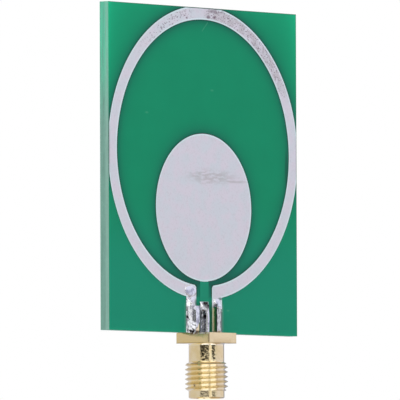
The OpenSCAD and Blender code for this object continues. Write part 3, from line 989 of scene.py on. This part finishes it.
def joint_mesh(box, cell, shape):
    """Solder as a sheet of points on a pad, raised to the shape's own height and closed underneath.

    box is (low across, high across, low along, high along). shape gives the lower and upper height of the
    solder at a point, and the solder ends where the two meet."""
    low_u, high_u, low_w, high_w = box
    wide, long = high_u - low_u, high_w - low_w
    bm = bmesh.new()
    bmesh.ops.create_grid(bm, x_segments=round(wide / cell), y_segments=round(long / cell), size=0.5)
    for v in bm.verts:
        v.co = Vector((low_u + (v.co.x + 0.5) * wide, low_w + (v.co.y + 0.5) * long, 0.0))

    def place(v):
        return v.co.to_tuple(7)

    heights = {place(v): shape(v.co.x, v.co.y) for v in bm.verts}

    def thin(v):
        lower, upper = heights[place(v)]
        return upper - lower <= 2.0 * JOIN

    def set_thickness(v, thickness):
        lower = heights[place(v)][0]
        heights[place(v)] = (lower, lower + thickness)

    def clear_bare():
        bare = [f for f in bm.faces if all(thin(v) for v in f.verts)]
        bmesh.ops.delete(bm, geom=bare, context="FACES")

    clear_bare()
    rim = [f for f in bm.faces if any(thin(v) for v in f.verts)]
    bmesh.ops.triangulate(bm, faces=rim, quad_method="FIXED")
    clear_bare()
    for v in bm.verts:
        if thin(v):
            set_thickness(v, 0.0)
    # Where two parts of a joint only touch along an edge, a thin bridge joins them.
    for e in bm.edges:
        if len(e.link_faces) == 2 and all(thin(v) for v in e.verts):
            set_thickness(e.verts[0], 4.0 * JOIN)
    under = bm.verts[:]
    grown = bmesh.ops.extrude_face_region(bm, geom=bm.faces[:], use_keep_orig=True)["geom"]
    over = only(bmesh.types.BMVert, grown)
    for v in under:
        v.co.z = heights[place(v)][0]
    for v in over:
        v.co.z = heights[place(v)][1]
    bmesh.ops.remove_doubles(bm, verts=bm.verts, dist=JOIN)
    return bm


def place_joint(bm, side, pad_y, towards):
    """Moves a joint from its pad's own frame (across, along, up) into the part's frame."""
    for v in bm.verts:
        across, along, up = v.co
        v.co = Vector((side * across, pad_y + towards * up, EDGE_Z + along))


def lumps(u, w, seed):
    """Uneven skin of hand-made solder, from -1 to 1, at a point in metres."""
    coarse = noise.noise((u / MM * 1.0, w / MM * 0.3, seed))
    fine = noise.noise((u / MM * 2.6, w / MM * 1.2, seed + 7.0))
    return 0.85 * coarse + 0.15 * fine


def swelling(distance, reach):
    """Round edge of a drop: 0 at its outline and 1 from a reach inwards."""
    return math.sqrt(1.0 - (1.0 - min(max(distance / reach, 0.0), 1.0)) ** 2)


def ease(value):
    """Goes smoothly from 0 to 1."""
    share = min(max(value, 0.0), 1.0)
    return share * share * (3.0 - 2.0 * share)


def between(pair, share):
    """Value that goes from the first of a pair to the second."""
    return pair[0] + (pair[1] - pair[0]) * share


class Ridge:
    """Solder that leaves a leg or the pin as a leaning ridge.

    It starts at a height along the pad, climbs from there and falls from its own height to nothing. At both
    ends it has a middle, a reach to its low side and a reach to its high side, in millimetres."""

    # Powers that bend the ridge's slopes at its start and from half-way up, and its fall along the climb.
    slope_bends = (2.2, 0.9)
    climb_bend = 1.2

    def __init__(self, start, climb, height, middle, low_reach, high_reach):
        self.start, self.climb, self.height = start, climb, height
        self.middle = [v * MM for v in middle]
        self.low_reach = [v * MM for v in low_reach]
        self.high_reach = [v * MM for v in high_reach]

    def level(self, u, w):
        """Height at a point, and the distance to the ridge's outline."""
        share = max((w - self.start) / self.climb, 0.0)
        if share >= 1.0:
            return 0.0, 0.0
        off = u - between(self.middle, share)
        reach = between(self.high_reach if off > 0 else self.low_reach, share)
        fall = 1.0 - abs(off) / reach
        if fall <= 0.0:
            return 0.0, 0.0
        bend = between(self.slope_bends, min(2.0 * share, 1.0))
        height = self.height * fall ** bend * (1.0 - share) ** self.climb_bend
        return height, min(fall * reach, (1.0 - share) * self.climb)


def leg_joint(settings, seed, ridge, foot, bare, drops=()):
    """Heights of a joint on a leg. u runs from the leg's middle away from the feed, w up the board.

    ridge is the solder past the leg's tip, foot the joint's lower outline and bare the height up to which the
    leg itself is left bare. drops are flat round drops: (u, w, half width, half height, thickness)."""
    jack, solder, conductors = settings.jack, settings.solder, settings.conductors
    half = jack.leg_width / 2
    middle = leg_middle(jack)
    tip = LEG_TIP_Z - EDGE_Z
    thick = jack.leg_thickness
    inner_reach = solder.inner_lap
    outer_reach = conductors.ground_outer - middle - half
    copper_side = conductors.ground_inner - middle
    wander, skin_reach, lump_reach = 0.05 * MM, 0.1 * MM, 0.6 * MM
    thinnest_on_leg, thinnest = 0.01 * MM, 0.004 * MM

    def fillet(beside, top):
        """Height of the solder beside a leg: a soft foot, a straight slope and a steep upper part."""
        slope, foot_end, slope_end = 0.7, 0.28, 0.72
        run = outer_reach * foot_end
        out = 1.0 - beside
        if out < foot_end:
            return slope * run / 2 * (out / foot_end) ** 2
        if out < slope_end:
            return slope * run / 2 + slope * outer_reach * (out - foot_end)
        start = slope * run / 2 + slope * outer_reach * (slope_end - foot_end)
        share = (out - slope_end) / (1.0 - slope_end)
        rise = slope * outer_reach * (1.0 - slope_end)
        return start + rise * share + (top - start - rise) * share ** 2

    def crown(u, w):
        """Rounding over the leg, highest towards its outer side and gone at its tip."""
        highest, reach, end = 0.8, 1.85, 0.7 * MM
        arch = max(1.0 - ((u / half - highest) / reach) ** 2, 0.0)
        return solder.crown * (arch * (1.0 - ease((w - tip) / end + 1.0)))

    def bulge(u, w):
        """Bulge across the joint's foot, which rises towards the leg's outer side."""
        start, lean, reach = 0.55 * MM, 0.85, 0.33 * MM
        return solder.bulge * math.exp(-(((w - start - lean * max(u, 0.0)) / reach) ** 2))

    def drop_height(u, w):
        """Height of the drop at a point, or 0 beside all drops."""
        best = 0.0
        for drop_u, drop_w, half_width, half_height, depth in drops:
            off = math.hypot((u - drop_u) / half_width, (w - drop_w) / half_height)
            ragged = 1.0 + 0.3 * lumps(u * 1.5, w * 1.5, seed + 3.0)
            best = max(best, depth * swelling(ragged - off, 0.45))
        return best

    def shape(across, w):
        """Lower and upper height of the solder at a point."""
        u = across - middle
        on_leg = abs(u) <= half and w <= tip
        lower = thick if on_leg else 0.0
        reach = outer_reach if u > 0 else inner_reach
        beside = min(max(abs(u) - half, 0.0) / reach, 1.0)
        inside = min(u + half + inner_reach, half + outer_reach - u, w - foot(u))
        if w > tip:
            body, ridge_inside = ridge.level(u, w)
            inside = min(inside, u - copper_side, ridge_inside - wander)
        else:
            top = thick + crown(u, w)
            body = fillet(beside, top) if u > 0 else top * (1.0 - beside) ** 2.2
            body += bulge(u, w) * (1.0 - beside)
        if on_leg:
            inside = min(inside, w - bare(u))
        inside += wander * lumps(u * 2, w * 2, seed + 5.0)
        if inside <= 0.0:
            return lower, lower + (0.0 if on_leg else drop_height(u, w))
        skin = solder.coat * swelling(inside, skin_reach)
        swell = solder.lump * lumps(u, w, seed) * ease(inside / lump_reach)
        upper = max(body + skin + swell, drop_height(u, w))
        return lower, max(upper, lower + (thinnest_on_leg if on_leg else thinnest))

    return shape


def pin_joint(settings, seed, ridge):
    """Heights of the joint on the pin: fillets at both sides, and a ridge that leaves it below its tip."""
    solder, conductors, jack = settings.solder, settings.conductors, settings.jack
    radius = jack.pin_radius
    limit = conductors.feed_width / 2
    right_limit = limit - 0.1 * MM
    tip = PIN_TIP_Z - EDGE_Z
    shoulder = 0.4 * radius
    film, turn_over = 0.05 * MM, 0.5 * MM
    wander, skin_reach, lump_reach = 0.04 * MM, 0.1 * MM, 0.5 * MM

    def round_height(u, w, reach):
        """Height of a round bar on the pin's axis above the pad, or 0 beside and past it."""
        return FRONT_PAD_Y + math.sqrt(reach ** 2 - u ** 2) if abs(u) < reach and w <= tip else 0.0

    def shape(u, w):
        """Lower and upper height of the solder at a point."""
        lower = round_height(u, w, radius)
        beside = min(max(abs(u) - shoulder, 0.0) / (limit - shoulder), 1.0)
        fillet = 2 * radius * (1.0 - beside) ** 3.5
        level = ridge.level(u, w)[0]
        body = fillet + (level - fillet) * ease((w - ridge.start) / turn_over + 0.5)
        inside = min(limit - abs(u), right_limit - u, tip + solder.pin_climb - w)
        inside += wander * lumps(u * 2, w * 2, seed + 5.0)
        if inside <= 0.0:
            return lower, lower
        skin = solder.coat * swelling(inside, skin_reach)
        swell = solder.lump * lumps(u, w, seed) * ease(inside / lump_reach)
        return lower, max(body + skin + swell, round_height(u, w, radius + film))

    return shape


class ANTENNA_OT_board(bpy.types.Operator):
    """Gives the laminate and both green coats their finish"""

    bl_idname = "antenna.board"
    bl_label = "Finish Board"

    def execute(self, context):
        settings = context.scene.antenna
        dress("fr4_board", laminate_finish(settings))
        dress("front_solder_mask", coat_finish(settings, printed=True))
        dress("rear_solder_mask", coat_finish(settings, printed=False))
        return {"FINISHED"}


class ANTENNA_OT_conductors(bpy.types.Operator):
    """Gives the ring, the disc and the rear pads their tin"""

    bl_idname = "antenna.conductors"
    bl_label = "Finish Conductors"

    def execute(self, context):
        tin = tin_finish(context.scene.antenna)
        for node in ("ring_conductor", "disc_conductor", "rear_pad_left", "rear_pad_right"):
            dress(node, tin)
        return {"FINISHED"}


class ANTENNA_OT_jack(bpy.types.Operator):
    """Turns the jack's shell with its thread, flange and legs, and finishes the contact and the insulator"""

    bl_idname = "antenna.jack"
    bl_label = "Build Jack"

    def execute(self, context):
        settings = context.scene.antenna
        gold = gold_finish(settings)
        bm = barrel(settings.jack)
        add_flange(bm, settings.jack)
        mesh = joined(bm, legs(settings.jack), "jack_shell")
        if not mesh.polygons:
            raise RuntimeError("the jack's shell has no faces")
        add_piece(mesh, gold, "gold_plate", "connector_shell")
        dress("centre_contact", gold)
        dress("insulator", insulator_finish(settings))
        return {"FINISHED"}


class ANTENNA_OT_front_joints(bpy.types.Operator):
    """Shapes the three solder joints on the printed side"""

    bl_idname = "antenna.front_joints"
    bl_label = "Build Front Joints"

    def execute(self, context):
        settings = context.scene.antenna
        solder, conductors, jack = settings.solder, settings.conductors, settings.jack
        material = solder_finish(settings)
        tip = LEG_TIP_Z - EDGE_Z
        half = jack.leg_width / 2
        thick = jack.leg_thickness
        left = leg_joint(
            settings, 3.0,
            ridge=Ridge(
                start=tip, climb=solder.left_climb, height=thick,
                middle=(0.5, 1.42), low_reach=(0.9, 0.25), high_reach=(1.03, 0.14),
            ),
            foot=lambda u: 0.0,
            # Bare gold shows on the leg below a slanting line.
            bare=lambda u: 0.4 * MM + 1.1 * (half - u),
            drops=(
                (0.55 * MM, 6.15 * MM, 1.3 * MM, 0.85 * MM, 0.12 * MM),
                (0.1 * MM, 5.0 * MM, 0.5 * MM, 0.7 * MM, 0.06 * MM),
            ),
        )
        right = leg_joint(
            settings, 21.0,
            ridge=Ridge(
                start=tip, climb=solder.right_climb, height=0.6 * thick,
                middle=(-0.05, -0.25), low_reach=(0.36, 0.16), high_reach=(1.55, 1.1),
            ),
            # This joint only covers the top of its leg.
            foot=lambda u: tip - solder.right_lap - 0.3 * u,
            bare=lambda u: 0.0,
        )
        drop_room_up, drop_room_across = 3.6 * MM, 0.6 * MM
        leg_side = leg_middle(jack) - half - solder.inner_lap
        box = (leg_side, conductors.ground_outer + drop_room_across, 0.0, tip + drop_room_up)
        for name, side, shape, node in (
            ("solder_left_front", -1, left, "solder_front_left"),
            ("solder_right_front", 1, right, "solder_front_right"),
        ):
            bm = joint_mesh(box, solder.cell, shape)
            place_joint(bm, side, FRONT_PAD_Y, -1)
            add_piece(solid_mesh(bm, name), material, "solder", node)
        half_feed = conductors.feed_width / 2
        long = PIN_TIP_Z - EDGE_Z + 2 * solder.pin_climb
        ridge = Ridge(
            start=3.3 * MM, climb=1.3 * MM, height=2.1 * jack.pin_radius,
            middle=(-0.3, -0.8), low_reach=(0.65, 0.15), high_reach=(0.35, 0.16),
        )
        box = (-half_feed, half_feed, 0.0, long)
        bm = joint_mesh(box, solder.cell, pin_joint(settings, 11.0, ridge))
        place_joint(bm, 1, FRONT_PAD_Y, -1)
        add_piece(solid_mesh(bm, "solder_pin"), material, "solder", "solder_centre")
        return {"FINISHED"}


class ANTENNA_OT_rear_joints(bpy.types.Operator):
    """Shapes the two solder joints on the rear side"""

    bl_idname = "antenna.rear_joints"
    bl_label = "Build Rear Joints"

    def execute(self, context):
        settings = context.scene.antenna
        solder, conductors, jack = settings.solder, settings.conductors, settings.jack
        material = bpy.data.materials.get("hand_solder") or solder_finish(settings)
        tip = LEG_TIP_Z - EDGE_Z
        leg_side = leg_middle(jack) - jack.leg_width / 2 - solder.inner_lap
        box = (leg_side, conductors.ground_outer, 0.0, tip + solder.rear_climb)
        for name, side, seed, node in (
            ("solder_left_rear", -1, 31.0, "solder_rear_left"),
            ("solder_right_rear", 1, 43.0, "solder_rear_right"),
        ):
            shape = leg_joint(
                settings, seed,
                ridge=Ridge(
                    start=tip, climb=solder.rear_climb, height=jack.leg_thickness,
                    middle=(0.0, 0.2), low_reach=(0.7, 0.7), high_reach=(1.5, 1.0),
                ),
                foot=lambda u: 0.0,
                bare=lambda u: 0.0,
            )
            bm = joint_mesh(box, solder.cell, shape)
            place_joint(bm, side, REAR_PAD_Y, 1)
            add_piece(solid_mesh(bm, name), material, "solder", node)
        return {"FINISHED"}


# Lamps: name, azimuth and elevation in degrees, distance and size in metres, and power in watts.
LAMPS = (
    ("key_lamp", -70.0, 48.0, 0.45, 0.30, 1.05),
    ("fill_lamp", 10.0, 30.0, 0.55, 0.35, 0.8),
    ("rear_lamp", 160.0, 35.0, 0.55, 0.35, 0.8),
)

# Cards that show in the metal: name, azimuths and elevations of their edges in degrees, and colour.
CARDS = (
    ("left_card_above", -170.0, -84.0, 12.0, 80.0, (0.68, 0.60, 0.40)),
    ("left_card_level", -170.0, -90.0, -12.0, 12.0, (0.74, 0.74, 0.77)),
    ("left_card_below", -170.0, -84.0, -80.0, -12.0, (0.74, 0.65, 0.40)),
    ("left_box_above", -84.0, -34.1, 5.5, 75.0, (1.45, 1.46, 1.47)),
    ("left_dark_gap", -90.0, -34.1, -3.9, 5.5, (0.02, 0.02, 0.02)),
    ("left_box_below", -84.0, -34.1, -75.0, -3.9, (1.42, 1.43, 1.46)),
    ("middle_card_above", -34.1, -23.0, 14.0, 75.0, (0.34, 0.31, 0.24)),
    ("middle_card_below", -34.1, -23.0, -75.0, -12.0, (0.34, 0.31, 0.24)),
    ("right_box_above", -23.0, 16.5, 5.5, 75.0, (1.45, 1.46, 1.47)),
    ("right_dark_gap", -14.6, 7.5, -3.9, 5.5, (0.02, 0.02, 0.02)),
    ("right_grey_gap", 7.5, 16.5, -3.9, 5.5, (0.6, 0.6, 0.62)),
    ("right_box_below", -23.0, 16.5, -75.0, -3.9, (1.42, 1.43, 1.46)),
    ("right_warm_above", 16.5, 26.0, 12.0, 75.0, (0.36, 0.22, 0.14)),
    ("right_card_level", 16.5, 26.0, -12.0, 12.0, (0.78, 0.76, 0.84)),
    ("right_warm_below", 16.5, 26.0, -75.0, -12.0, (0.36, 0.22, 0.14)),
    ("right_card_high", 26.0, 90.0, 35.0, 80.0, (0.80, 0.74, 0.72)),
    ("right_card_above", 26.0, 90.0, -3.9, 35.0, (0.865, 0.875, 1.03)),
    ("right_card_below", 26.0, 90.0, -35.0, -3.9, (0.70, 0.66, 0.69)),
    ("right_card_low", 26.0, 90.0, -80.0, -35.0, (0.50, 0.40, 0.30)),
    ("rear_card", 90.0, 128.0, -80.0, 80.0, (0.44, 0.46, 0.58)),
    ("back_card", 128.0, 190.0, -80.0, 80.0, (0.72, 0.72, 0.80)),
)


def direction(azimuth, elevation):
    """Unit vector from the part towards a place round it; azimuth 0 is in front of the printed side."""
    return Vector((
        math.sin(azimuth) * math.cos(elevation), -math.cos(azimuth) * math.cos(elevation), math.sin(elevation)
    ))


def add_camera(stage):
    """Camera at the photograph's angle, aimed beside the middle of the board's face."""
    back = direction(stage.azimuth, stage.elevation)
    level = back.cross(Vector((0, 0, -1))).normalized()
    upright = back.cross(level)
    right = level * math.cos(stage.roll) + upright * math.sin(stage.roll)
    up = back.cross(right)
    middle = Vector((0.0, BOARD_LOW.y, (BOARD_LOW.z + BOARD_HIGH.z) / 2))
    data = bpy.data.cameras.new("camera")
    data.lens = stage.lens
    data.clip_start = 0.1
    data.clip_end = 10.0
    camera = show(data)
    place = middle + right * stage.aim_right + up * stage.aim_up + back * stage.distance
    camera.matrix_world = Matrix.Translation(place) @ Matrix((right, up, back)).transposed().to_4x4()
    bpy.context.scene.camera = camera


def add_world(stage):
    """Even fill light, seen as plain white by the camera and in reflections."""
    world = bpy.data.worlds.new("white_studio")
    world.use_nodes = True
    bpy.context.scene.world = world
    tree = world.node_tree
    tree.nodes.clear()
    path = tree.nodes.new("ShaderNodeLightPath")
    seen = path.outputs["Is Camera Ray"]
    for name in ("Is Glossy Ray", "Is Transmission Ray"):
        either = tree.nodes.new("ShaderNodeMath")
        either.operation = "MAXIMUM"
        tree.links.new(seen, either.inputs[0])
        tree.links.new(path.outputs[name], either.inputs[1])
        seen = either.outputs[0]
    light = tree.nodes.new("ShaderNodeBackground")
    light.inputs["Strength"].default_value = stage.fill
    white = tree.nodes.new("ShaderNodeBackground")
    mix = tree.nodes.new("ShaderNodeMixShader")
    for background in (light, white):
        background.inputs["Color"].default_value = (1.0, 1.0, 1.0, 1.0)
    white.inputs["Strength"].default_value = 1.0
    tree.links.new(seen, mix.inputs[0])
    tree.links.new(light.outputs[0], mix.inputs[1])
    tree.links.new(white.outputs[0], mix.inputs[2])
    tree.links.new(mix.outputs[0], tree.nodes.new("ShaderNodeOutputWorld").inputs["Surface"])


def add_floor(stage):
    """Pale floor under the jack, which can be looked through from below."""
    bm = bmesh.new()
    bmesh.ops.create_circle(bm, cap_ends=True, segments=96, radius=FLOOR_RADIUS)
    bmesh.ops.translate(bm, verts=bm.verts, vec=(0, 0, CAD_LOW.z - FLOOR_GAP))
    mesh = sheet_mesh(bm, "floor")
    f = Finish("pale_floor")
    tone = f.mix(f.patches(0.05, 3.0, 0.3, 0.7), stage.paper, dimmed(0.985, stage.paper))
    f.set(base_color=tone, roughness=0.9, specular_ior_level=0.0)
    clear = f.add("ShaderNodeBsdfTransparent")
    mix = f.add("ShaderNodeMixShader")
    f.join(f.add("ShaderNodeNewGeometry").outputs["Backfacing"], mix.inputs[0])
    f.join(f.shader.outputs[0], mix.inputs[1])
    f.join(clear.outputs[0], mix.inputs[2])
    f.join(mix.outputs[0], f.tree.nodes["Material Output"].inputs["Surface"])
    mesh.materials.append(f.material)
    floor = show(mesh)
    floor.visible_glossy = False


def add_light(name, azimuth, elevation, distance, size, watts):
    """Square soft lamp that faces the middle of the part."""
    data = bpy.data.lights.new(name, "AREA")
    data.shape = "SQUARE"
    data.size = size
    data.energy = watts
    lamp = show(data)
    towards = direction(math.radians(azimuth), math.radians(elevation))
    lamp.location = CAD_MIDDLE + towards * distance
    lamp.rotation_mode = "QUATERNION"
    lamp.rotation_quaternion = towards.to_track_quat("Z", "Y")
    lamp.visible_camera = lamp.visible_glossy = False


def add_card(name, first, last, low, high, shade):
    """Curved card round the part that only shows in reflections, between two azimuths and two elevations."""
    bm = bmesh.new()
    start = direction(math.radians(first), 0.0) * CARD_DISTANCE
    rises = [CARD_DISTANCE * math.tan(math.radians(angle)) for angle in (low, high)]
    bm.edges.new([bm.verts.new(start + Vector((0, 0, rise))) for rise in rises])
    bmesh.ops.spin(
        bm, geom=bm.verts[:] + bm.edges[:], cent=(0, 0, 0), axis=(0, 0, 1),
        angle=math.radians(last - first), steps=CARD_STEPS,
    )
    bmesh.ops.translate(bm, verts=bm.verts, vec=CAD_MIDDLE)
    mesh = sheet_mesh(bm, name)
    material = bpy.data.materials.new(name)
    material.use_nodes = True
    tree = material.node_tree
    tree.nodes.clear()
    glow = tree.nodes.new("ShaderNodeEmission")
    glow.inputs["Color"].default_value = (*shade, 1.0)
    tree.links.new(glow.outputs[0], tree.nodes.new("ShaderNodeOutputMaterial").inputs["Surface"])
    mesh.materials.append(material)
    card = show(mesh)
    card.visible_camera = card.visible_diffuse = card.visible_shadow = False
    card.visible_transmission = card.visible_volume_scatter = False


class ANTENNA_OT_stage(bpy.types.Operator):
    """Sets the camera, the pale floor, the soft lamps and the cards that show in the metal"""

    bl_idname = "antenna.stage"
    bl_label = "Set Stage"

    def execute(self, context):
        stage = context.scene.antenna.stage
        add_world(stage)
        add_floor(stage)
        for lamp in LAMPS:
            add_light(*lamp)
        for card in CARDS:
            add_card(*card)
        add_camera(stage)
        context.scene.view_settings.view_transform = "Standard"
        return {"FINISHED"}


class ANTENNA_PT_panel(bpy.types.Panel):
    """Lists the steps and settings of the antenna"""

    bl_label = "Disc and Ring Antenna"
    bl_idname = "ANTENNA_PT_panel"
    bl_space_type = "VIEW_3D"
    bl_region_type = "UI"
    bl_category = "Antenna"

    def draw(self, context):
        layout = self.layout
        settings = context.scene.antenna
        for operator, group in STEPS:
            box = layout.box()
            box.operator(operator.bl_idname)
            values = getattr(settings, group)
            for name in values.__annotations__:
                box.prop(values, name)


STEPS = (
    (ANTENNA_OT_board, "board"),
    (ANTENNA_OT_conductors, "conductors"),
    (ANTENNA_OT_jack, "jack"),
    (ANTENNA_OT_front_joints, "solder"),
    (ANTENNA_OT_rear_joints, "solder"),
    (ANTENNA_OT_stage, "stage"),
)

CLASSES = (
    BoardSettings,
    ConductorSettings,
    JackSettings,
    SolderSettings,
    StageSettings,
    AntennaSettings,
    *(operator for operator, group in STEPS),
    ANTENNA_PT_panel,
)


def register():
    for item in CLASSES:
        bpy.utils.register_class(item)
    bpy.types.Scene.antenna = PointerProperty(type=AntennaSettings)


def unregister():
    del bpy.types.Scene.antenna
    for item in reversed(CLASSES):
        bpy.utils.unregister_class(item)


def main():
    """Runs every step on the frame."""
    register()
    bpy.ops.antenna.board()
    bpy.ops.antenna.conductors()
    bpy.ops.antenna.jack()
    bpy.ops.antenna.front_joints()
    bpy.ops.antenna.rear_joints()
    bpy.ops.antenna.stage()


if __name__ == "__main__":
    main()
